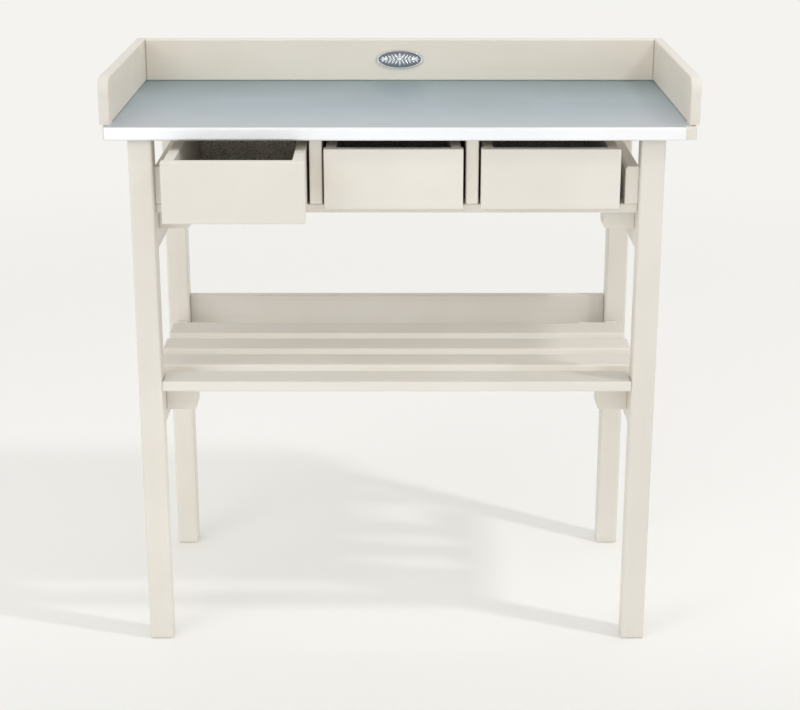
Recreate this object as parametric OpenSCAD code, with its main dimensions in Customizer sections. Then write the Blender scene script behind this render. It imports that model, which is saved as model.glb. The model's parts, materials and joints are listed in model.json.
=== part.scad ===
// Wooden potting bench with a galvanised worktop, raised edging, three drawers and a slatted shelf.
// X runs to the right, Z up. Depths are counted backwards from the front faces of the front legs,
// and every part is moved by mid_depth at the end, so that the origin is on the floor, in the
// middle of the bench's box with the left drawer pulled out.

/* [Leg frame] */
// Width and depth of a leg
leg = 32; // [28:1:40]
// Width over the legs
frame_w = 707; // [680:1:720]
// Depth over the legs
frame_d = 367; // [350:1:370]
// How far the leg frame sits off the worktop's middle
frame_shift = -4; // [-6:1:6]
// Thickness of the side rails
rail_t = 18; // [16:1:20]
// Height of the side rails
rail_h = 56; // [50:1:56]
// Height of the upper rails' lower edge above the floor
upper_rail_z = 570; // [560:1:570]
// Thickness of the apron and of the shelf's back board
apron_t = 16; // [12:1:18]

/* [Worktop] */
// Width of the worktop board
top_w = 777; // [770:1:790]
// Depth of the worktop board
top_d = 384; // [380:1:390]
// Thickness of the worktop board
top_t = 16; // [14:1:20]
// Height of the metal surface above the floor
top_z = 743; // [735:1:750]
// Overhang of the board in front of the legs
top_overhang = 9; // [8:1:12]
// Radius of the board's front corners, seen from above
top_corner = 6; // [3:1:10]
// Radius of the board's front edges
top_edge = 2; // [1:0.5:3]
// Thickness of the galvanised sheet
sheet_t = 1; // [0.8:0.1:1.2]
// Reach of the folded edge to the left of the middle
lip_left = 385; // [380:1:386]
// Reach of the folded edge to the right of the middle
lip_right = 373; // [370:1:386]
// Width of the hem folded back under the board
hem = 8; // [4:1:8]

/* [Edging] */
// Thickness of the edging boards
edge_t = 14; // [12:1:16]
// Thickness of the back board
back_t = 15; // [12:1:16]
// Height of the edging boards
edge_h = 62; // [50:1:70]
// How far the side boards stand out past the worktop board's ends
edge_out = 5; // [3:1:5]
// Distance from the worktop's front edge to the side boards
edge_setback = 14; // [12:1:20]
// Radius of the side boards' front-top corners
edge_round = 20; // [10:1:30]

/* [Emblem] */
// Width of the oval emblem
emblem_w = 70; // [50:1:80]
// Height of the oval emblem
emblem_h = 27; // [20:1:40]
// Thickness of the emblem's plate
emblem_t = 2.5; // [2:0.5:4]

/* [Drawer case] */
// Distance from the legs' front faces to the case
case_y = 15; // [15:1:20]
// Height of the case floor's lower face above the floor
case_z = 623; // [620:1:626]
// Thickness of the case floor
case_floor_t = 12; // [10:1:15]
// Thickness of the case sides
case_side_t = 18; // [15:1:18]
// Height of the case sides above the case floor
case_side_h = 51; // [45:1:60]
// Radius along the case sides' inner top edge
case_side_round = 5; // [2:1:8]
// Thickness of the two dividers
divider_t = 17; // [15:1:18]
// How far the dividers sit off the leg frame's middle
divider_shift = -3.5; // [-4:0.5:0]
// Distance between the middles of the two dividers
divider_spacing = 207.6; // [205:0.2:210]

/* [Drawers] */
// Width of a drawer front
drawer_w = 184; // [180:1:184]
// Height of a drawer front
drawer_h = 81; // [75:1:84]
// Length of a drawer from front to back
drawer_len = 320; // [280:1:325]
// Thickness of the fronts, sides and backs
drawer_t = 14; // [12:1:14]
// How far each side of the box is set in from the front's end
drawer_inset = 2.5; // [1:0.5:4]
// Thickness of a drawer's bottom
bottom_t = 4; // [3:1:5]
// Depth of the grooves that hold the bottom
groove = 5; // [3:1:6]
// Gap between a drawer and the wall to its left
drawer_gap = 2.6; // [1:0.2:2.6]
// How far the left drawer is pulled out
pull = 82; // [0:1:200]

/* [Shelf] */
// Height of the shelf's upper face above the floor
shelf_z = 390; // [380:1:395]
// Width of a slat
slat_w = 48; // [40:1:50]
// Thickness of a slat
slat_t = 15; // [13:1:18]
// Gap between two slats
slat_gap = 27; // [20:1:27]
// Height of the shelf's back board
shelf_back_h = 53; // [40:1:60]
// How far the back board rises above the slats
shelf_back_rise = 21; // [10:1:30]

/* [Corner blocks] */
// Width of a corner block, from the rail inwards
block_w = 42; // [35:1:50]
// Depth of a corner block
block_d = 40; // [30:1:40]
// Height of a block under the case
upper_block_h = 28; // [26:1:40]
// Height of a block under the shelf
lower_block_h = 40; // [30:1:40]
// Distance from a leg to its block
block_gap = 8; // [0:1:10]
// Radius of a block's lower inner corner
block_round = 5; // [2:1:10]

/* [Fasteners] */
// Diameter of the screws
screw_d = 4; // [3:0.5:4]
// Diameter of the frame dowels
dowel_d = 8; // [6:1:8]
// Length of the frame dowels
dowel_l = 30; // [24:1:30]
// Clearance around a screw or dowel
fit = 0.1; // [0.05:0.05:0.2]

/* [Softened edges] */
// Edge radius of the legs
leg_round = 3; // [1:0.5:4]
// Edge radius of the slats
slat_round = 3; // [1:0.5:4]
// Edge radius of the edging and of the shelf's back board
edging_round = 2.5; // [1:0.5:4]
// Edge radius of the rails, the case and its dividers
frame_round = 2; // [1:0.5:3]
// Edge radius of the drawers and the corner blocks
drawer_round = 1.5; // [0.5:0.5:2]

/* [Hidden] */

// Colours
paint = [0.91, 0.89, 0.84];
zinc = [0.66, 0.71, 0.74];
pewter = [0.45, 0.47, 0.50];
steel = [0.75, 0.75, 0.76];
beech = [0.80, 0.66, 0.46];
fibre = [0.36, 0.33, 0.30];

// Sides: left is -1, right is 1. Ends: front is 0, rear is 1.
SIDES = [-1, 1];
ENDS = [0, 1];

// Leg frame
inner_x = frame_w / 2 - leg;
rail_mid = inner_x + rail_t / 2;
leg_mid = inner_x + leg / 2;
rear_leg_y = frame_d - leg;
apron_y = frame_d - apron_t;
apron_mid = frame_d - apron_t / 2;
slat_z = shelf_z - slat_t;
lower_rail_z = slat_z - rail_h;

// Worktop
board_z = top_z - sheet_t;
leg_h = board_z - top_t;
top_front = -top_overhang;
top_rear = top_front + top_d;
edge_inner = top_w / 2 + edge_out - edge_t;
edge_y = top_front + edge_setback;
side_tuck = 2;
back_tuck = 6;
sheet_reach = edge_inner + side_tuck;
sheet_rear = top_rear - back_t + back_tuck;
edge_screw_x = edge_inner + 5;
edge_screw_y = top_rear - 5.5;
emblem_rise = 1;
emblem_z = top_z + edge_h / 2 + emblem_rise;

// Drawer case and drawers
case_top = case_z + case_floor_t;
compartment = inner_x - case_side_t;
divider_x = [for (i = SIDES) divider_shift + i * divider_spacing / 2];
wall_left = [-compartment, divider_x[0] + divider_t / 2, divider_x[1] + divider_t / 2];
drawer_x = [for (w = wall_left) frame_shift + w + drawer_gap + drawer_w / 2];
drawer_y = 0.5;
finger_gap = 14;
drawer_top = leg_h - finger_gap;
slide_gap = 0.5;
side_z = case_top + slide_gap;
box_x = drawer_w / 2 - drawer_inset;
bottom_rise = 10;
bottom_z = case_top + bottom_rise;
drawer_dowel_d = 6;
drawer_dowel_l = 22;
drawer_dowel_depth = 10;
drawer_dowel_z = [drawer_top - 55, drawer_top - 17];

// Fasteners: where they are and how long
head_r = screw_d - 0.2;
tip_r = 0.4;
recess = [3.2, 0.8, 1.2];
rail_dowel_up = [rail_h / 2 - 12, rail_h / 2 + 12];
back_dowel_z = [case_z + 27, leg_h - 26, shelf_z - 18, shelf_z + 8];
slat_dowel_l = 24;
case_screw_y = [leg - 8, rear_leg_y + 8];
case_screw_z = [case_top + 9, case_top + 40];
case_screw_l = 42;
floor_screw_y = [120, 260];
floor_screw_l = 36;
block_screw_in = 10;
block_screw_l = 55;
block_floor_x = inner_x - 27;
top_screw_y = [90, 280];
top_screw_l = 45;
edging_side_y = [40, 185, 330];
edging_back_x = [-300, -100, 100, 300];
pin_x = 20;
pin_l = 8;
pin_d = 2;
pin_sunk = 2.5;

// The bench's middle depth, from the pulled-out drawer's front to the edging's rear face
mid_depth = (drawer_y - pull + top_rear) / 2;

$fn = 48;

// ---- helpers ----

// Places children in the final frame.
module bench() {
    translate([0, -mid_depth, 0]) children();
}

// Moves children to the leg frame's own middle.
module frame() {
    bench() translate([frame_shift, 0, 0]) children();
}

// A board between two opposite corners, with sharp edges.
module slab(from, to) {
    translate(from) cube(to - from);
}

// A rectangle between two opposite corners, its corners rounded by r.
module rounded(from, to, r) {
    translate([from.x, from.y + r]) square([to.x - from.x, to.y - from.y - 2 * r]);
    translate([from.x + r, from.y]) square([to.x - from.x - 2 * r, to.y - from.y]);
    for (x = [from.x + r, to.x - r], y = [from.y + r, to.y - r])
        translate([x, y]) circle(r);
}

// A board between two opposite corners, all its edges rounded by r.
module board(from, to, r) {
    intersection() {
        along_x(from.x, to.x) rounded([from.y, from.z], [to.y, to.z], r);
        along_y(from.y, to.y) rounded([from.x, from.z], [to.x, to.z], r);
        translate([0, 0, from.z]) linear_extrude(to.z - from.z)
            rounded([from.x, from.y], [to.x, to.y], r);
    }
}

// A disc of thickness t along X, centred at the origin, its rim rounded by r.
module round_disc(radius, t, r) {
    rotate([0, 90, 0]) rotate_extrude() intersection() {
        rounded([-radius, -t / 2], [radius, t / 2], r);
        translate([0, -t / 2]) square([radius, t]);
    }
}

// A rectangle in the plane of depth and height whose front corners are rounded.
module round_front(y0, z0, y1, z1, r) {
    translate([y0 + r, z0]) square([y1 - y0 - r, z1 - z0]);
    translate([y0, z0 + r]) square([2 * r, z1 - z0 - 2 * r]);
    for (z = [z0 + r, z1 - r])
        translate([y0 + r, z]) circle(r);
}

// Extrudes a shape drawn in depth and height from x0 to x1.
module along_x(x0, x1) {
    translate([x0, 0, 0]) rotate([90, 0, 90]) linear_extrude(x1 - x0) children();
}

// Extrudes a shape drawn in width and height from y0 to y1.
module along_y(y0, y1) {
    translate([0, y1, 0]) rotate([90, 0, 0]) linear_extrude(y1 - y0) children();
}

// A screw with a countersunk head whose top is at the origin and that points down.
// With a gap it is the hole for that screw.
module screw(length, gap = 0) {
    r = screw_d / 2 + gap;
    head = screw_d / 2;
    difference() {
        union() {
            translate([0, 0, -head]) cylinder(h = head, r1 = r, r2 = head_r + gap);
            translate([0, 0, -length + screw_d]) cylinder(h = length - screw_d, r = r);
            translate([0, 0, -length - gap]) cylinder(h = screw_d + gap, r1 = tip_r + gap, r2 = r);
        }
        if (gap == 0)
            for (a = [0, 90])
                rotate(a) translate([-recess.x / 2, -recess.y / 2, -recess.z]) cube([recess.x, recess.y, head]);
    }
}

// A round peg along Z, centred at the origin. With a gap it is the hole for that peg.
module peg(length, d, gap = 0) {
    translate([0, 0, -length / 2 - gap]) cylinder(h = length + 2 * gap, d = d + 2 * gap);
}

// ---- where the fasteners are, each drawn as itself or, with a gap, as its hole ----

// Dowels that hold both rails of one side between its legs.
module rail_dowels(side, gap = 0) {
    for (z = [upper_rail_z, lower_rail_z], up = rail_dowel_up, y = [leg, rear_leg_y])
        translate([side * rail_mid, y, z + up]) rotate([90, 0, 0]) peg(dowel_l, dowel_d, gap);
}

// Dowels that hold the apron and the shelf's back board between the rear legs.
module back_dowels(side, gap = 0) {
    for (z = back_dowel_z)
        translate([side * inner_x, apron_mid, z]) rotate([0, 90, 0]) peg(dowel_l, dowel_d, gap);
}

// Dowels under the three slats that lie on the rails, and at the ends of the front slat.
module slat_pegs(side, gap = 0) {
    for (i = [1:3])
        translate([side * rail_mid, slat_y(i) + slat_w / 2, slat_z]) peg(slat_dowel_l, dowel_d, gap);
    translate([side * inner_x, leg / 2, slat_z + slat_t / 2]) rotate([0, 90, 0])
        peg(slat_dowel_l, dowel_d, gap);
}

// Screws through the case sides into the legs, two per leg.
module case_side_screws(side, gap = 0) {
    for (y = case_screw_y, z = case_screw_z)
        translate([side * compartment, y, z]) rotate([0, -side * 90, 0]) screw(case_screw_l, gap);
}

// Screws up through the case floor into the case sides and the dividers.
module floor_screws_up(gap = 0) {
    for (x = concat([for (s = SIDES) s * (compartment + case_side_t / 2)], divider_x), y = floor_screw_y)
        translate([x, y, case_z]) rotate([180, 0, 0]) screw(floor_screw_l, gap);
}

// Screws down through the case floor into the corner blocks.
module floor_screws_down(gap = 0) {
    for (s = SIDES, e = ENDS)
        translate([s * block_floor_x, block_y(e) + block_d / 2, case_top]) screw(floor_screw_l, gap);
}

// Screws through a corner block into its rail, two per block.
module block_pair(side, end, z, gap = 0) {
    for (y = [block_screw_in, block_d - block_screw_in])
        translate([side * (inner_x - block_w), block_y(end) + y, z]) rotate([0, -side * 90, 0])
            screw(block_screw_l, gap);
}

// Screws down through the worktop board into the legs and the dividers.
module worktop_fixings(gap = 0) {
    for (s = SIDES, y = [leg / 2, rear_leg_y + leg / 2])
        translate([s * leg_mid, y, board_z]) screw(top_screw_l, gap);
    for (x = divider_x, y = top_screw_y)
        translate([x, y, board_z]) screw(top_screw_l, gap);
}

// Screws up through the worktop board into the edging boards.
module edging_fixings(gap = 0) {
    for (s = SIDES, y = edging_side_y)
        translate([s * edge_screw_x, y, board_z - top_t]) rotate([180, 0, 0]) screw(top_screw_l, gap);
    for (x = edging_back_x)
        translate([x, edge_screw_y, board_z - top_t]) rotate([180, 0, 0]) screw(top_screw_l, gap);
}

// Pins that hold the emblem.
module pins(gap = 0) {
    for (x = SIDES)
        translate([x * pin_x, top_rear - back_t + pin_sunk, emblem_z]) rotate([90, 0, 0]) peg(pin_l, pin_d, gap);
}

// ---- leg frame ----

function slat_y(i) = i * (slat_w + slat_gap);
function block_y(end) = end == 0 ? leg + block_gap : rear_leg_y - block_gap - block_d;

module leg_post(side, end) {
    y = end * rear_leg_y;
    color(paint) bench() difference() {
        translate([frame_shift, 0, 0])
            board([side * leg_mid - leg / 2, y, 0], [side * leg_mid + leg / 2, y + leg, leg_h], leg_round);
        translate([frame_shift, 0, 0]) {
            rail_dowels(side, fit);
            back_dowels(side, fit);
            slat_pegs(side, fit);
            case_side_screws(side, fit);
            worktop_fixings(fit);
        }
    }
}

module rail(side, z) {
    color(paint) frame() difference() {
        board([side * rail_mid - rail_t / 2, leg, z], [side * rail_mid + rail_t / 2, rear_leg_y, z + rail_h],
              frame_round);
        rail_dowels(side, fit);
        slat_pegs(side, fit);
        for (e = ENDS, bz = [case_z - upper_block_h / 2, slat_z - lower_block_h / 2])
            block_pair(side, e, bz, fit);
    }
}

module back_apron() {
    color(paint) frame() difference() {
        board([-inner_x, apron_y, case_z], [inner_x, frame_d, leg_h], frame_round);
        for (s = SIDES)
            back_dowels(s, fit);
    }
}

module corner_block(side, end, top, h) {
    x = side * (inner_x - block_w / 2);
    y = block_y(end);
    color(paint) frame() difference() {
        intersection() {
            board([x - block_w / 2, y, top - h], [x + block_w / 2, y + block_d, top], drawer_round);
            along_y(y, y + block_d) translate([x, top - h]) scale([side, 1]) {
                translate([-block_w / 2, block_round]) square([block_w, h - block_round]);
                translate([-block_w / 2 + block_round, 0]) square([block_w - block_round, h]);
                translate([-block_w / 2 + block_round, block_round]) circle(block_round);
            }
        }
        block_pair(side, end, top - h / 2, fit);
        floor_screws_down(fit);
    }
}

// ---- worktop ----

module worktop_board() {
    color(paint) bench() difference() {
        intersection() {
            along_x(-top_w / 2, top_w / 2)
                round_front(top_front, board_z - top_t, top_rear, board_z, top_edge);
            translate([0, 0, board_z - top_t]) linear_extrude(top_t) {
                translate([-top_w / 2, top_front + top_corner]) square([top_w, top_d - top_corner]);
                translate([-top_w / 2 + top_corner, top_front]) square([top_w - 2 * top_corner, top_d]);
                for (s = SIDES)
                    translate([s * (top_w / 2 - top_corner), top_front + top_corner]) circle(top_corner);
            }
        }
        translate([frame_shift, 0, 0]) worktop_fixings(fit);
        edging_fixings(fit);
    }
}

// The sheet lies on the board, folds down over its front edge and is hemmed underneath.
module worktop_sheet() {
    hem_end = top_front + hem;
    past = 1;
    color(zinc) bench() {
        along_x(-lip_left, lip_right) difference() {
            round_front(top_front - sheet_t, leg_h - sheet_t, edge_y, top_z, top_edge + sheet_t);
            round_front(top_front, leg_h, edge_y + past, board_z, top_edge);
            translate([hem_end, leg_h - 2 * sheet_t]) square([edge_y - hem_end + past, 3 * sheet_t]);
        }
        slab([-sheet_reach, edge_y, board_z], [sheet_reach, sheet_rear, top_z]);
    }
}

module edge_board_side(side) {
    color(paint) bench() difference() {
        x0 = side > 0 ? edge_inner : -edge_inner - edge_t;
        x1 = x0 + edge_t;
        turn_y = edge_y + edge_round;
        turn_z = top_z + edge_h - edge_round;
        union() {
            along_y(turn_y, top_rear) rounded([x0, top_z], [x1, top_z + edge_h], edging_round);
            translate([0, 0, top_z]) linear_extrude(turn_z - top_z)
                rounded([x0, edge_y], [x1, turn_y + 2 * edging_round], edging_round);
            translate([(x0 + x1) / 2, turn_y, turn_z]) round_disc(edge_round, edge_t, edging_round, $fn = 96);
        }
        edging_fixings(fit);
    }
}

module edge_board_back() {
    color(paint) bench() difference() {
        board([-edge_inner, top_rear - back_t, top_z], [edge_inner, top_rear, top_z + edge_h], edging_round);
        edging_fixings(fit);
        pins(fit);
    }
}

module emblem() {
    color(pewter) bench() difference() {
        translate([0, top_rear - back_t, emblem_z]) rotate([90, 0, 0])
            linear_extrude(emblem_t) resize([emblem_w, emblem_h]) circle(emblem_w / 2);
        pins(fit);
    }
}

// ---- drawer case ----

module case_side(side) {
    h = case_side_h;
    r = case_side_round;
    color(paint) frame() difference() {
        intersection() {
            x = side * (compartment + case_side_t / 2);
            board([x - case_side_t / 2, case_y, case_top], [x + case_side_t / 2, apron_y, case_top + h],
                  drawer_round);
            along_y(case_y, apron_y) translate([side * compartment, case_top]) scale([side, 1]) {
                square([case_side_t, h - r]);
                translate([r, 0]) square([case_side_t - r, h]);
                translate([r, h - r]) circle(r);
            }
        }
        case_side_screws(side, fit);
        floor_screws_up(fit);
    }
}

module case_floor() {
    color(paint) frame() difference() {
        board([-inner_x, case_y, case_z], [inner_x, apron_y, case_top], frame_round);
        floor_screws_up(fit);
        floor_screws_down(fit);
    }
}

module divider(i) {
    color(paint) frame() difference() {
        board([divider_x[i] - divider_t / 2, case_y, case_top], [divider_x[i] + divider_t / 2, apron_y, leg_h],
              frame_round);
        floor_screws_up(fit);
        worktop_fixings(fit);
    }
}

// ---- drawers ----

// Moves children to drawer i, whose front face is then at depth 0.
module at_drawer(i) {
    bench() translate([drawer_x[i], drawer_y - (i == 0 ? pull : 0), 0]) children();
}

// Dowels that hold a drawer's sides to its front and to its back.
module drawer_pegs(gap = 0) {
    y = drawer_t - drawer_dowel_depth + drawer_dowel_l / 2;
    for (s = SIDES, z = drawer_dowel_z) {
        translate([s * (box_x - drawer_t / 2), y, z]) rotate([90, 0, 0])
            peg(drawer_dowel_l, drawer_dowel_d, gap);
        translate([s * (box_x - drawer_dowel_l / 2), drawer_len - drawer_t / 2, z]) rotate([0, 90, 0])
            peg(drawer_dowel_l, drawer_dowel_d, gap);
    }
}

// The bottom panel, or with a gap the space that its grooves leave.
module bottom_panel(gap = 0) {
    x = box_x - drawer_t + groove;
    slab([-x - gap, drawer_t - groove - gap, bottom_z - gap],
         [x + gap, drawer_len - drawer_t + groove + gap, bottom_z + bottom_t + gap]);
}

module drawer_front(i) {
    color(paint) at_drawer(i) difference() {
        board([-drawer_w / 2, 0, drawer_top - drawer_h], [drawer_w / 2, drawer_t, drawer_top], drawer_round);
        bottom_panel(fit);
        drawer_pegs(fit);
    }
}

module drawer_side(i, side) {
    x = side > 0 ? box_x - drawer_t : -box_x;
    color(paint) at_drawer(i) difference() {
        board([x, drawer_t, side_z], [x + drawer_t, drawer_len, drawer_top], drawer_round);
        bottom_panel(fit);
        drawer_pegs(fit);
    }
}

module drawer_back(i) {
    x = box_x - drawer_t;
    color(fibre) at_drawer(i) difference() {
        board([-x, drawer_len - drawer_t, side_z], [x, drawer_len, drawer_top], drawer_round);
        bottom_panel(fit);
        drawer_pegs(fit);
    }
}

module drawer_bottom(i) {
    color(fibre) at_drawer(i) bottom_panel();
}

module drawer_dowels(i) {
    color(beech) at_drawer(i) drawer_pegs();
}

// ---- shelf ----

// Slat 0 is the front one, which fits between the legs. The others lie on the rails.
module slat(i) {
    x = i == 0 ? inner_x : inner_x + rail_t;
    color(paint) frame() difference() {
        board([-x, slat_y(i), slat_z], [x, slat_y(i) + slat_w, shelf_z], slat_round);
        for (s = SIDES)
            slat_pegs(s, fit);
    }
}

module shelf_back_board() {
    z = shelf_z + shelf_back_rise;
    color(paint) frame() difference() {
        board([-inner_x, apron_y, z - shelf_back_h], [inner_x, frame_d, z], edging_round);
        for (s = SIDES)
            back_dowels(s, fit);
    }
}

// ---- fasteners ----

module frame_dowels() {
    color(beech) frame() for (s = SIDES) {
        rail_dowels(s);
        back_dowels(s);
    }
}

module slat_dowels() {
    color(beech) frame() for (s = SIDES)
        slat_pegs(s);
}

module case_screws() {
    color(steel) frame() for (s = SIDES)
        case_side_screws(s);
}

module case_floor_screws() {
    color(steel) frame() {
        floor_screws_up();
        floor_screws_down();
    }
}

module block_screws() {
    color(steel) frame() for (s = SIDES, e = ENDS, z = [case_z - upper_block_h / 2, slat_z - lower_block_h / 2])
        block_pair(s, e, z);
}

module worktop_screws() {
    color(steel) frame() worktop_fixings();
}

module edging_screws() {
    color(steel) bench() edging_fixings();
}

module emblem_pins() {
    color(steel) bench() pins();
}

leg_post(-1, 0);  // leg_front_left
leg_post(1, 0);  // leg_front_right
leg_post(-1, 1);  // leg_rear_left
leg_post(1, 1);  // leg_rear_right
rail(-1, upper_rail_z);  // rail_upper_left
rail(1, upper_rail_z);  // rail_upper_right
rail(-1, lower_rail_z);  // rail_lower_left
rail(1, lower_rail_z);  // rail_lower_right
back_apron();
worktop_board();
worktop_sheet();
edge_board_side(-1);  // edge_board_left
edge_board_side(1);  // edge_board_right
edge_board_back();
emblem();
case_side(-1);  // case_side_left
case_side(1);  // case_side_right
case_floor();
divider(0);  // divider_left
divider(1);  // divider_right
drawer_front(0);  // drawer_left_front
drawer_side(0, -1);  // drawer_left_side_l
drawer_side(0, 1);  // drawer_left_side_r
drawer_back(0);  // drawer_left_back
drawer_bottom(0);  // drawer_left_bottom
drawer_dowels(0);  // drawer_left_dowels
drawer_front(1);  // drawer_middle_front
drawer_side(1, -1);  // drawer_middle_side_l
drawer_side(1, 1);  // drawer_middle_side_r
drawer_back(1);  // drawer_middle_back
drawer_bottom(1);  // drawer_middle_bottom
drawer_dowels(1);  // drawer_middle_dowels
drawer_front(2);  // drawer_right_front
drawer_side(2, -1);  // drawer_right_side_l
drawer_side(2, 1);  // drawer_right_side_r
drawer_back(2);  // drawer_right_back
drawer_bottom(2);  // drawer_right_bottom
drawer_dowels(2);  // drawer_right_dowels
slat(0);  // slat_1_front
slat(1);  // slat_2
slat(2);  // slat_3
slat(3);  // slat_4_rear
shelf_back_board();
corner_block(-1, 0, case_z, upper_block_h);  // block_case_front_left
corner_block(1, 0, case_z, upper_block_h);  // block_case_front_right
corner_block(-1, 1, case_z, upper_block_h);  // block_case_rear_left
corner_block(1, 1, case_z, upper_block_h);  // block_case_rear_right
corner_block(-1, 0, slat_z, lower_block_h);  // block_shelf_front_left
corner_block(1, 0, slat_z, lower_block_h);  // block_shelf_front_right
corner_block(-1, 1, slat_z, lower_block_h);  // block_shelf_rear_left
corner_block(1, 1, slat_z, lower_block_h);  // block_shelf_rear_right
frame_dowels();
slat_dowels();
case_screws();
case_floor_screws();
block_screws();
worktop_screws();
edging_screws();
emblem_pins();
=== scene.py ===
"""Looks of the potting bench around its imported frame: paint, zinc, cast badge, stage, light and camera."""
import functools
import json
import math

import bmesh
import bpy
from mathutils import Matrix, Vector


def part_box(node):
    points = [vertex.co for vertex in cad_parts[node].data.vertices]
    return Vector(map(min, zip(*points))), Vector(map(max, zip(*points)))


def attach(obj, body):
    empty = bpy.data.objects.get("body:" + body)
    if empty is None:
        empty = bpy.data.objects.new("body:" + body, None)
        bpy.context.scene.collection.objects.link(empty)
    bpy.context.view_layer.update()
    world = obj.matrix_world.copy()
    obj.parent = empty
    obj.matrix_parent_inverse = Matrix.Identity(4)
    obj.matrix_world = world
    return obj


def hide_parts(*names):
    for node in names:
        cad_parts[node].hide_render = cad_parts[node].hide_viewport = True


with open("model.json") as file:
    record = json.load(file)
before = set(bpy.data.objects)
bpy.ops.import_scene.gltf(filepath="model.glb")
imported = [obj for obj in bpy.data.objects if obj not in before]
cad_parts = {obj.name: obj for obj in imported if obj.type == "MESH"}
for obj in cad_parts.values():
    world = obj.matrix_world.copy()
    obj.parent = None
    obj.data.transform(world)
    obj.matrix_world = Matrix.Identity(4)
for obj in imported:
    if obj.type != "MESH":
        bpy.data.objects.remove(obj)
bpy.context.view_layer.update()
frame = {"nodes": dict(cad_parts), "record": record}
nodes = frame["nodes"]
MM = 0.001


# ---------------------------------------------------------------- places taken from the frame
legs_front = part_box("leg_front_left")[0].y
sheet_low, sheet_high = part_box("worktop_sheet")
badge_low, badge_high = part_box("emblem")
edging_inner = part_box("edge_board_right")[0].x


# ---------------------------------------------------------------- node material helpers
def add(tree, kind, inputs=None, **settings):
    """A shader node, with a number, a colour or another node's output for each input, by name or place."""
    made = tree.nodes.new("ShaderNode" + kind)
    for name, value in settings.items():
        setattr(made, name, value)
    for name, value in (inputs or {}).items():
        if isinstance(value, bpy.types.NodeSocket):
            tree.links.new(value, made.inputs[name])
        else:
            made.inputs[name].default_value = value
    return made


def new_material(name):
    """An empty node material, and its tree."""
    material = bpy.data.materials.new(name)
    material.use_nodes = True
    tree = material.node_tree
    tree.nodes.clear()
    return material, tree


def finish_material(tree, shader):
    """Links a shader to a new output."""
    tree.links.new(shader.outputs[0], add(tree, "OutputMaterial").inputs["Surface"])


def place(tree, scale=(1, 1, 1)):
    """The object's own coordinates in metres, stretched by scale."""
    where = add(tree, "TexCoord").outputs["Object"]
    return add(tree, "Mapping", {"Vector": where, "Scale": scale}).outputs["Vector"]


def stretched(axis, length, width):
    """A scale that makes noise length metres long along axis 0, 1 or 2 and width metres wide across it."""
    return tuple(1 / length if i == axis else 1 / width for i in range(3))


def position(tree, axis):
    """X, Y or Z in the bench's frame, in metres."""
    where = add(tree, "NewGeometry").outputs["Position"]
    return add(tree, "SeparateXYZ", {0: where}).outputs[axis]


def noise(tree, where, scale=1.0, detail=3.0, roughness=0.5, distortion=0.0):
    """Soft noise from 0 to 1, about 0.5 on average."""
    settings = {"Vector": where, "Scale": scale, "Detail": detail,
                "Roughness": roughness, "Distortion": distortion}
    return add(tree, "TexNoise", settings).outputs["Fac"]


def band(tree, value, low, high, to_low=0.0, to_high=1.0):
    """value taken from low..high to to_low..to_high, smoothly and no further."""
    inputs = {"Value": value, "From Min": low, "From Max": high, "To Min": to_low, "To Max": to_high}
    return add(tree, "MapRange", inputs, interpolation_type="SMOOTHSTEP").outputs["Result"]


def blend_colours(tree, share, first, second, mode="MIX"):
    """From first to second by share, or to the two multiplied by that share."""
    inputs = {0: share, 6: first, 7: second}
    return add(tree, "Mix", inputs, data_type="RGBA", blend_type=mode).outputs[2]


def math_node(tree, operation, first, second=0.0):
    """What the named operation makes of one or two values."""
    return add(tree, "Math", {0: first, 1: second}, operation=operation).outputs[0]


def bump(tree, height, strength, distance, under=None):
    """A normal that height tilts, on top of the normal under it."""
    inputs = {"Height": height, "Strength": strength, "Distance": distance}
    if under is not None:
        inputs["Normal"] = under
    return add(tree, "Bump", inputs).outputs["Normal"]


def arris(tree, radius):
    """0 on the flats and up to 1 where a face turns within radius of an edge."""
    rounded = add(tree, "Bevel", {"Radius": radius}, samples=4).outputs["Normal"]
    face = add(tree, "NewGeometry").outputs["Normal"]
    dot = add(tree, "VectorMath", {0: rounded, 1: face}, operation="DOT_PRODUCT").outputs["Value"]
    flat, turned = 0.995, 0.80
    return band(tree, dot, flat, turned)


# ---------------------------------------------------------------- materials
CREAM = (0.738, 0.704, 0.648, 1)
CREAM_DEEP = (0.708, 0.670, 0.608, 1)
CREAM_LIGHT = (0.768, 0.738, 0.688, 1)
PRIMER = (0.640, 0.560, 0.440, 1)
# Painted highlight: the light tone laid along the paint's edges
EDGE_HIGHLIGHT = (0.870, 0.850, 0.800, 1)
SCUFF = (0.520, 0.480, 0.420, 1)
# Painted bounce light: the warm tint given to the edging's faces beside the metal sheet
SHEET_BOUNCE_TINT = (1.055, 1.015, 0.965, 1)

# How far from an edge the paint is worn and given a painted highlight, and the share of that highlight's
# light tone there
WEAR_AND_HIGHLIGHT_REACH = 1.6 * MM
EDGE_HIGHLIGHT_SHARE = 0.6
# How high above the floor the paint is scuffed, and the most that it is
SCUFF_TOP = 20 * MM
SCUFF_SHARE = 0.25


def painted_bounce_beside_sheet(tree):
    """1 on the edging's faces that stand around the metal sheet, which get a warm painted bounce light."""
    within, on_face, fade = 1.0 * MM, 0.3 * MM, 2.0 * MM
    across = math_node(tree, "ABSOLUTE", position(tree, "X"))
    between = band(tree, across, edging_inner + within, edging_inner + on_face)
    above = band(tree, position(tree, "Z"), sheet_high.z, sheet_high.z + fade)
    inside = band(tree, position(tree, "Y"), sheet_high.y, sheet_high.y - fade)
    return math_node(tree, "MULTIPLY", math_node(tree, "MULTIPLY", between, above), inside)


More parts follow.
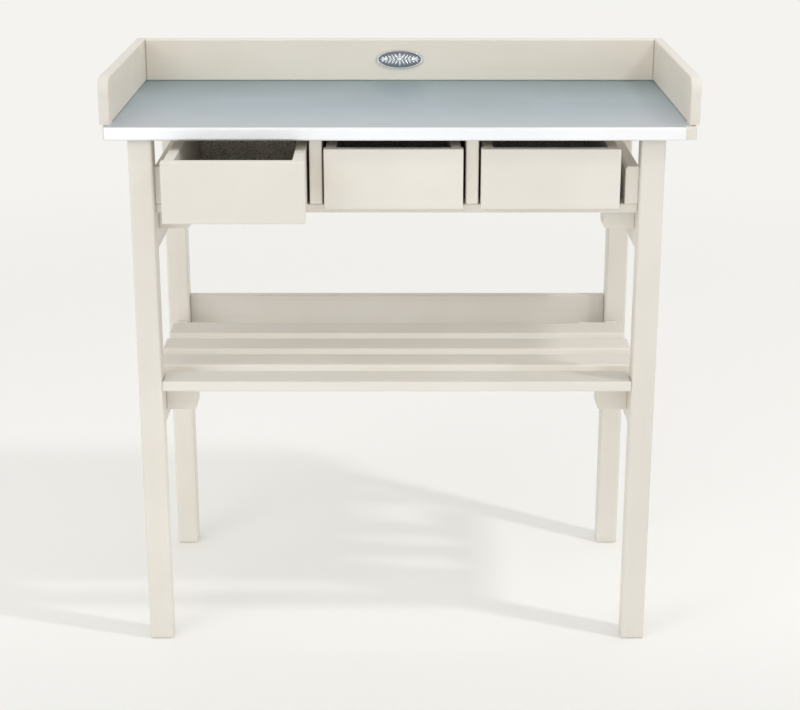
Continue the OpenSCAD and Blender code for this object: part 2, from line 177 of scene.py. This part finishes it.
@functools.cache
def painted_wood(axis, light_and_shade, light_and_shade_on_top):
    """Off-white satin paint, brushed on along the grain, which runs along axis 0, 1 or 2.

    The first of its two factors lightens or darkens it as painted light and shade, and the second does so
    where it faces up; its edges carry a painted highlight.
    """
    material, tree = new_material("painted_wood_" + "xyz"[axis])
    grain = noise(tree, place(tree, stretched(axis, length=0.30, width=0.009)),
                  detail=4.0, roughness=0.55, distortion=0.6)
    strokes = noise(tree, place(tree, stretched(axis, length=0.16, width=0.0016)),
                    detail=2.0, roughness=0.6)
    clouds = noise(tree, place(tree), scale=7.0, detail=2.0)
    peel = noise(tree, place(tree), scale=900.0, detail=1.0)

    tone = blend_colours(tree, band(tree, clouds, 0.35, 0.65), CREAM, CREAM_LIGHT)
    tone = blend_colours(tree, band(tree, grain, 0.50, 0.80, to_high=0.45), tone, CREAM_DEEP)
    edge = arris(tree, WEAR_AND_HIGHLIGHT_REACH)
    # Painted highlight along the edges, where light would catch the rounded arrises
    tone = blend_colours(tree, math_node(tree, "MULTIPLY", edge, EDGE_HIGHLIGHT_SHARE), tone, EDGE_HIGHLIGHT)
    spots = band(tree, noise(tree, place(tree), scale=160.0, detail=4.0, roughness=0.65), 0.60, 0.72)
    tone = blend_colours(tree, math_node(tree, "MULTIPLY", edge, spots), tone, PRIMER)
    low_down = band(tree, position(tree, "Z"), SCUFF_TOP, 0.0, to_high=SCUFF_SHARE)
    dirt = band(tree, noise(tree, place(tree), scale=90.0, detail=5.0, roughness=0.6), 0.48, 0.70)
    tone = blend_colours(tree, math_node(tree, "MULTIPLY", low_down, dirt), tone, SCUFF)
    # Painted bounce light: warmer where the edging stands around the sheet
    tone = blend_colours(tree, painted_bounce_beside_sheet(tree), tone, SHEET_BOUNCE_TINT, mode="MULTIPLY")
    # Painted light and shade: each piece, and its faces that face up, lightened or darkened by its own
    # factors
    facing_up = add(tree, "SeparateXYZ", {0: add(tree, "NewGeometry").outputs["Normal"]}).outputs["Z"]
    light_and_shade_level = band(tree, facing_up, 0.5, 0.9, to_low=light_and_shade, to_high=light_and_shade_on_top)
    tone = add(tree, "VectorMath", {0: tone, "Scale": light_and_shade_level}, operation="SCALE").outputs["Vector"]

    gloss = band(tree, strokes, 0.3, 0.7, to_low=0.40, to_high=0.50)
    normal = bump(tree, grain, strength=0.10, distance=0.6 * MM)
    normal = bump(tree, strokes, strength=0.16, distance=0.12 * MM, under=normal)
    normal = bump(tree, peel, strength=0.06, distance=0.05 * MM, under=normal)
    finish_material(tree, add(tree, "BsdfPrincipled", {"Base Color": tone, "Roughness": gloss,
                                                       "Normal": normal, "Specular IOR Level": 0.45}))
    return material


def drawer_board():
    """Grey-brown pressed fibre board, with light and dark specks."""
    light_brown, dark_brown = (0.700, 0.660, 0.610, 1), (0.560, 0.525, 0.480, 1)
    light_speck, dark_speck = (0.90, 0.87, 0.82, 1), (0.150, 0.130, 0.110, 1)
    material, tree = new_material("drawer_board")
    speck = noise(tree, place(tree), scale=520.0, roughness=0.75)
    mottle = noise(tree, place(tree), scale=55.0, detail=4.0, roughness=0.6)
    tone = blend_colours(tree, band(tree, mottle, 0.3, 0.7), dark_brown, light_brown)
    tone = blend_colours(tree, band(tree, speck, 0.53, 0.68), tone, light_speck)
    tone = blend_colours(tree, band(tree, speck, 0.47, 0.33), tone, dark_speck)
    normal = bump(tree, speck, strength=0.5, distance=0.25 * MM)
    gloss = band(tree, mottle, 0.3, 0.7, to_low=0.62, to_high=0.80)
    finish_material(tree, add(tree, "BsdfPrincipled",
                              {"Base Color": tone, "Roughness": gloss, "Normal": normal}))
    return material


def metal(tree, tone, gloss, normal=None):
    """Ends a bare metal's tree with its shader."""
    inputs = {"Base Color": tone, "Metallic": 1.0, "Roughness": gloss}
    if normal is not None:
        inputs["Normal"] = normal
    finish_material(tree, add(tree, "BsdfPrincipled", inputs))


def galvanised():
    """Dull grey-blue zinc: cloudy, faintly crystalline, with fine rolling lines along X.

    It has painted shade towards the rear and a painted reflection towards the front, and is burnished at its
    front fold.
    """
    zinc_dark, zinc_light = (0.445, 0.530, 0.590, 1), (0.495, 0.575, 0.635, 1)
    crystal, fleck = (0.530, 0.605, 0.665, 1), (0.405, 0.485, 0.535, 1)
    # Tints of the painted shade towards the rear and the painted reflection towards the front
    rear_shade_tint, front_reflection_tint = (0.81, 0.86, 0.85, 1), (0.86, 0.80, 0.84, 1)
    burnished_dark, burnished_light = (0.89, 0.91, 0.95, 1), (0.945, 0.96, 0.98, 1)
    material, tree = new_material("galvanised_sheet")
    clouds = noise(tree, place(tree), scale=6.0, roughness=0.55)
    crystals = add(tree, "TexVoronoi", {"Vector": place(tree), "Scale": 95.0, "Randomness": 1.0},
                   feature="F1").outputs["Color"]
    facet = add(tree, "SeparateColor", {0: crystals}).outputs[0]
    fine = noise(tree, place(tree), scale=420.0, detail=4.0, roughness=0.7)
    rolling = noise(tree, place(tree, stretched(0, length=0.20, width=0.0011)), detail=2.0)

    tone = blend_colours(tree, band(tree, clouds, 0.3, 0.7), zinc_dark, zinc_light)
    tone = blend_colours(tree, band(tree, facet, 0.0, 1.0, to_high=0.35), tone, crystal)
    tone = blend_colours(tree, band(tree, fine, 0.50, 0.72, to_high=0.30), tone, fleck)
    depth = position(tree, "Y")
    middle = (sheet_low.y + sheet_high.y) / 2
    # Painted shade towards the rear and painted reflection towards the front, across the sheet's depth
    rear_shade = band(tree, depth, middle, sheet_high.y)
    tone = blend_colours(tree, rear_shade, tone, rear_shade_tint, mode="MULTIPLY")
    front_reflection = band(tree, depth, middle, sheet_low.y, to_high=0.30)
    tone = blend_colours(tree, front_reflection, tone, front_reflection_tint)
    bend, bend_face = 3.0 * MM, 0.6 * MM
    fold = band(tree, depth, sheet_low.y + bend, sheet_low.y + bend_face)
    along_fold = noise(tree, place(tree, stretched(0, length=0.30, width=10.0)), detail=1.0)
    burnished = blend_colours(tree, band(tree, along_fold, 0.42, 0.55), burnished_dark, burnished_light)
    tone = blend_colours(tree, fold, tone, burnished)

    gloss = math_node(tree, "ADD", band(tree, clouds, 0.3, 0.7, to_low=0.43, to_high=0.49),
                      band(tree, facet, 0.0, 1.0, to_high=0.06))
    gloss = math_node(tree, "ADD", gloss, band(tree, fine, 0.3, 0.7, to_high=0.05))
    normal = bump(tree, clouds, strength=0.25, distance=1.2 * MM)
    normal = bump(tree, rolling, strength=0.10, distance=0.03 * MM, under=normal)
    normal = bump(tree, fine, strength=0.12, distance=0.05 * MM, under=normal)
    metal(tree, tone, gloss, normal)
    return material


def pewter():
    """Cast pewter: dark in the hollows and rubbed bright on whatever stands proud."""
    hollow_dark, hollow_light = (0.150, 0.158, 0.176, 1), (0.270, 0.280, 0.300, 1)
    bright = (0.86, 0.88, 0.91, 1)
    field_height, below_top = 1.05 * MM, 0.35 * MM
    material, tree = new_material("pewter")
    raised = band(tree, position(tree, "Y"), badge_high.y - field_height, badge_low.y + below_top)
    patina = noise(tree, place(tree), scale=900.0, detail=4.0, roughness=0.6)
    hollows = blend_colours(tree, patina, hollow_dark, hollow_light)
    tone = blend_colours(tree, raised, hollows, bright)
    gloss = math_node(tree, "ADD", band(tree, raised, 0.0, 1.0, to_low=0.46, to_high=0.20),
                      band(tree, patina, 0.3, 0.7, to_high=0.08))
    metal(tree, tone, gloss, bump(tree, patina, strength=0.20, distance=0.05 * MM))
    return material


def steel():
    """Zinc-plated screw steel."""
    dull, bright = (0.58, 0.59, 0.60, 1), (0.76, 0.76, 0.75, 1)
    material, tree = new_material("steel")
    plating = noise(tree, place(tree), scale=700.0)
    metal(tree, blend_colours(tree, plating, dull, bright),
          band(tree, plating, 0.3, 0.7, to_low=0.22, to_high=0.36))
    return material


def beech():
    """Raw beech with its small dark flecks."""
    deep, pale, fleck = (0.60, 0.42, 0.25, 1), (0.72, 0.54, 0.35, 1), (0.36, 0.22, 0.12, 1)
    material, tree = new_material("beech")
    fibres = noise(tree, place(tree, stretched(0, length=0.03, width=0.001)), detail=4.0, roughness=0.6)
    flecks = noise(tree, place(tree), scale=1500.0, detail=1.0)
    tone = blend_colours(tree, fibres, deep, pale)
    tone = blend_colours(tree, band(tree, flecks, 0.62, 0.70, to_high=0.6), tone, fleck)
    normal = bump(tree, fibres, strength=0.3, distance=0.1 * MM)
    finish_material(tree, add(tree, "BsdfPrincipled",
                              {"Base Color": tone, "Roughness": 0.62, "Normal": normal}))
    return material


# Painted light and shade: how much lighter or darker the paint is made on a piece, and on its faces that face
# up, where it isn't 1
PAINTED_LIGHT_AND_SHADE = {
    "slat_1_front": (1.02, 0.88), "slat_2": (1.12, 0.97), "slat_3": (1.10, 0.97), "slat_4_rear": (1.10, 0.94),
    "shelf_back_board": (0.89, 0.89), "divider_left": (1.18, 1.0), "divider_right": (1.18, 1.0),
    "case_side_right": (1.05, 1.0), "drawer_middle_front": (1.025, 1.0),
    "edge_board_left": (0.945, 0.97), "edge_board_right": (0.985, 1.0),
    "leg_front_left": (1.03, 1.0), "leg_front_right": (0.98, 1.0), "leg_rear_left": (1.08, 1.0),
}
OTHER = {"drawer_board": drawer_board(), "galvanised_sheet": galvanised(), "pewter": pewter(),
         "steel": steel(), "beech": beech()}


# ---------------------------------------------------------------- the CAD pieces
def long_axis(name):
    """0, 1 or 2: the axis along which a CAD piece is longest."""
    low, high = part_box(name)
    size = high - low
    return max(range(3), key=lambda i: size[i])


def dress_cad_pieces():
    """Gives each CAD piece the material that its slot names."""
    slots = {part["node"]: part["material_slot"] for part in frame["record"]["subparts"]}
    for name, piece in nodes.items():
        slot = slots[name]
        if slot == "painted_wood":
            material = painted_wood(long_axis(name), *PAINTED_LIGHT_AND_SHADE.get(name, (1.0, 1.0)))
        else:
            material = OTHER[slot]
        piece.data.materials.clear()
        piece.data.materials.append(material)


# ---------------------------------------------------------------- the cast badge
def leaf_height(x, z, tip_x, tip_z, foot_x, foot_z, width):
    """Height of a pointed leaf from its foot to its tip: a crown with a groove for its midrib, and veins."""
    foot_heaviness = 0.8
    rib_depth, rib_width = 0.55, 0.10
    vein_height, vein_spacing, vein_slant, vein_fade = 0.16, 26, 7, 0.3
    run_x, run_z = tip_x - foot_x, tip_z - foot_z
    length = math.hypot(run_x, run_z)
    t = ((x - foot_x) * run_x + (z - foot_z) * run_z) / length**2
    if not 0 < t < 1:
        return 0.0
    off = ((x - foot_x) * -run_z + (z - foot_z) * run_x) / length
    half = width * math.sin(math.pi * t**foot_heaviness)
    if half <= 0 or abs(off) >= half:
        return 0.0
    crown = math.sqrt(1 - (off / half) ** 2)
    rib = rib_depth * math.exp(-((off / (rib_width * width)) ** 2))
    vein = vein_height * math.sin(vein_spacing * t - vein_slant * abs(off) / width)
    return max(0.0, crown - rib + vein * crown * (1 - crown * vein_fade))


def sprig():
    """The leaves and berries of the relief, in half-widths of the badge across and up.

    A leaf is its tip, its foot and its half-width, and a berry its middle and its radius.
    """
    pairs, first_foot, foot_step = 5, 0.06, 0.15
    reach, reach_step = 0.17, 0.012
    rise, rise_step = 0.245, 0.03
    leaf_width, end_width, centre_width = 0.052, 0.034, 0.06
    leaves = []
    for side in (-1, 1):
        for i in range(pairs):
            foot = side * (first_foot + foot_step * i)
            tip = foot + side * (reach - reach_step * i)
            for up in (-1, 1):
                leaves.append((tip, up * (rise - rise_step * i), foot, 0.0, leaf_width))
        leaves.append((side * 0.86, 0.0, side * 0.70, 0.0, end_width))
    leaves.append((0.0, 0.30, 0.0, 0.02, centre_width))
    leaves.append((0.0, -0.30, 0.0, -0.02, centre_width))
    berries = [(side * x, 0.0, r) for side in (-1, 1) for x, r in ((0.58, 0.088), (0.36, 0.034))]
    berries.append((0.0, 0.0, 0.075))
    return leaves, berries


def badge():
    """Oval relief of a leaf sprig in a beaded rim, in place of the plain CAD badge."""
    centre = (badge_low + badge_high) / 2
    half_w = (badge_high.x - badge_low.x) / 2
    half_h = (badge_high.z - badge_low.z) / 2
    thick = badge_high.y - badge_low.y
    leaves, berries = sprig()
    rings, turns, beads = 90, 384, 72
    field, field_crown = 0.42, 0.10
    rim_start, rim_middle, rim_half, rim_top = 0.89, 0.945, 0.055, 0.90
    between_beads = 0.55
    relief, berry_height = 0.44, 1.15
    stem_height, stem_half, stem_end = 0.5, 0.014, 0.72

    def height(r, angle):
        """Share of the badge's thickness at r of the way out to the rim."""
        x, z = r * math.cos(angle), r * math.sin(angle) * half_h / half_w
        base = field + field_crown * (1 - r**2)
        if r > rim_start:
            across = (r - rim_middle) / rim_half
            bead = between_beads + (1 - between_beads) * abs(math.sin(beads * angle / 2))
            return base + (rim_top - base) * max(0.0, 1 - across**2) ** 0.5 * bead
        shape = max((leaf_height(x, z, *leaf) for leaf in leaves), default=0.0)
        for berry_x, berry_z, radius in berries:
            far = math.hypot(x - berry_x, z - berry_z) / radius
            if far < 1:
                shape = max(shape, berry_height * math.sqrt(1 - far**2))
        stem = stem_height * max(0.0, 1 - (z / stem_half) ** 2) if abs(x) < stem_end else 0.0
        return min(1.0, base + relief * max(shape, stem))

    mesh = bmesh.new()
    front = [[mesh.verts.new((centre.x, badge_high.y - thick * height(0, 0), centre.z))]]
    for i in range(1, rings + 1):
        r = i / rings
        ring = []
        for j in range(turns):
            angle = 2 * math.pi * j / turns
            ring.append(mesh.verts.new((centre.x + half_w * r * math.cos(angle),
                                        badge_high.y - thick * height(r, angle),
                                        centre.z + half_h * r * math.sin(angle))))
        front.append(ring)
    rear = [mesh.verts.new((v.co.x, badge_high.y, v.co.z)) for v in front[-1]]
    middle = mesh.verts.new((centre.x, badge_high.y, centre.z))
    for j in range(turns):
        k = (j + 1) % turns
        mesh.faces.new((front[0][0], front[1][j], front[1][k]))
        for inner, outer in zip(front[1:], front[2:]):
            mesh.faces.new((inner[j], outer[j], outer[k], inner[k]))
        mesh.faces.new((front[-1][j], rear[j], rear[k], front[-1][k]))
        mesh.faces.new((rear[j], middle, rear[k]))
    bmesh.ops.recalc_face_normals(mesh, faces=mesh.faces)
    data = bpy.data.meshes.new("badge_relief")
    mesh.to_mesh(data)
    mesh.free()
    for polygon in data.polygons:
        polygon.use_smooth = True
    piece = bpy.data.objects.new("badge_relief", data)
    bpy.context.scene.collection.objects.link(piece)
    data.materials.append(OTHER["pewter"])
    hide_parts("emblem")
    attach(piece, "bench")


# ---------------------------------------------------------------- stage, light and camera
BACKDROP = (0.905, 0.897, 0.866, 1)
FLOOR = (0.890, 0.887, 0.880, 1)
# Painted shade: the floor's darker tone in front of the bench
FLOOR_SHADED_IN_FRONT = (0.800, 0.797, 0.790, 1)


def stage():
    """A pale floor, with painted shade that makes it a little darker in front of the bench, that runs out
    into the pale surround.
    """
    radius, below_feet = 14.0, 0.2 * MM
    front_starts, front_ends = 0.05, -0.42
    fades_from, fades_to = 1.3, 3.2
    lift = 0.045
    mesh = bmesh.new()
    bmesh.ops.create_circle(mesh, cap_ends=True, segments=96, radius=radius)
    data = bpy.data.meshes.new("floor")
    mesh.to_mesh(data)
    mesh.free()
    floor = bpy.data.objects.new("floor", data)
    floor.location.z = -below_feet
    bpy.context.scene.collection.objects.link(floor)
    material, tree = new_material("floor")
    where = add(tree, "NewGeometry").outputs["Position"]
    away = add(tree, "VectorMath", {0: where}, operation="LENGTH").outputs["Value"]
    # Painted shade on the floor in front of the bench
    shade_in_front = band(tree, position(tree, "Y"), front_starts, front_ends)
    tone = blend_colours(tree, shade_in_front, FLOOR, FLOOR_SHADED_IN_FRONT)
    near = add(tree, "BsdfPrincipled", {"Base Color": tone, "Roughness": 0.6, "Specular IOR Level": 0.2,
                                        "Emission Color": BACKDROP, "Emission Strength": lift})
    far = add(tree, "Emission", {"Color": BACKDROP, "Strength": 1.0})
    faded = band(tree, away, fades_from, fades_to)
    finish_material(tree, add(tree, "MixShader", {0: faded, 1: near.outputs[0], 2: far.outputs[0]}))
    data.materials.append(material)


def surround():
    """A pale room that is as light as the far floor at the horizon and a little dimmer overhead."""
    horizon, overhead, strength_overhead = 0.10, 0.50, 0.915
    world = bpy.data.worlds.new("surround")
    bpy.context.scene.world = world
    world.use_nodes = True
    tree = world.node_tree
    way = add(tree, "TexCoord").outputs["Generated"]
    up = add(tree, "SeparateXYZ", {0: way}).outputs["Z"]
    background = tree.nodes["Background"]
    background.inputs["Color"].default_value = BACKDROP
    strength = band(tree, up, horizon, overhead, to_low=1.0, to_high=strength_overhead)
    tree.links.new(strength, background.inputs["Strength"])


def soft_light(name, azimuth, elevation, distance, width, height, radiance, target=Vector((0, 0, 0.45))):
    """A rectangular light. Azimuth 0 is straight in front and 90 at the bench's right."""
    a, e = math.radians(azimuth), math.radians(elevation)
    out = Vector((math.sin(a) * math.cos(e), -math.cos(a) * math.cos(e), math.sin(e)))
    data = bpy.data.lights.new(name, "AREA")
    data.shape = "RECTANGLE"
    data.size, data.size_y = width, height
    data.energy = radiance * math.pi * width * height
    light = bpy.data.objects.new(name, data)
    light.location = target + out * distance
    light.rotation_mode = "QUATERNION"
    light.rotation_quaternion = out.to_track_quat("Z", "Y")
    light.visible_camera = False
    bpy.context.scene.collection.objects.link(light)


def lights():
    """A small strong key from the upper right, three wide soft lights, and a small one near the floor."""
    soft_light("key", azimuth=66, elevation=50.5, distance=3.6, width=0.16, height=0.55, radiance=96.0)
    soft_light("left", azimuth=-45, elevation=32, distance=3.0, width=1.4, height=1.2, radiance=2.0)
    soft_light("front", azimuth=-9, elevation=8, distance=3.0, width=1.8, height=0.9, radiance=0.95)
    soft_light("overhead", azimuth=0, elevation=56, distance=3.0, width=2.6, height=0.9, radiance=0.15)
    soft_light("under", azimuth=0, elevation=-63, distance=0.36, width=0.36, height=0.25, radiance=0.45,
               target=Vector((0, legs_front, 0.38)))


def camera():
    """Stands in front of the legs, looking down a little."""
    aside, distance, height, down = 0.4 * MM, 2.30, 1.18, 18.1
    data = bpy.data.cameras.new("camera")
    data.sensor_width = 36
    data.lens = 80.0
    data.clip_start, data.clip_end = 0.05, 60
    made = bpy.data.objects.new("camera", data)
    made.location = (aside, legs_front - distance, height)
    made.rotation_euler = (math.radians(90 - down), 0, 0)
    bpy.context.scene.collection.objects.link(made)
    bpy.context.scene.camera = made


camera()
dress_cad_pieces()
badge()
stage()
surround()
lights()
bpy.context.scene.view_settings.view_transform = "Standard"
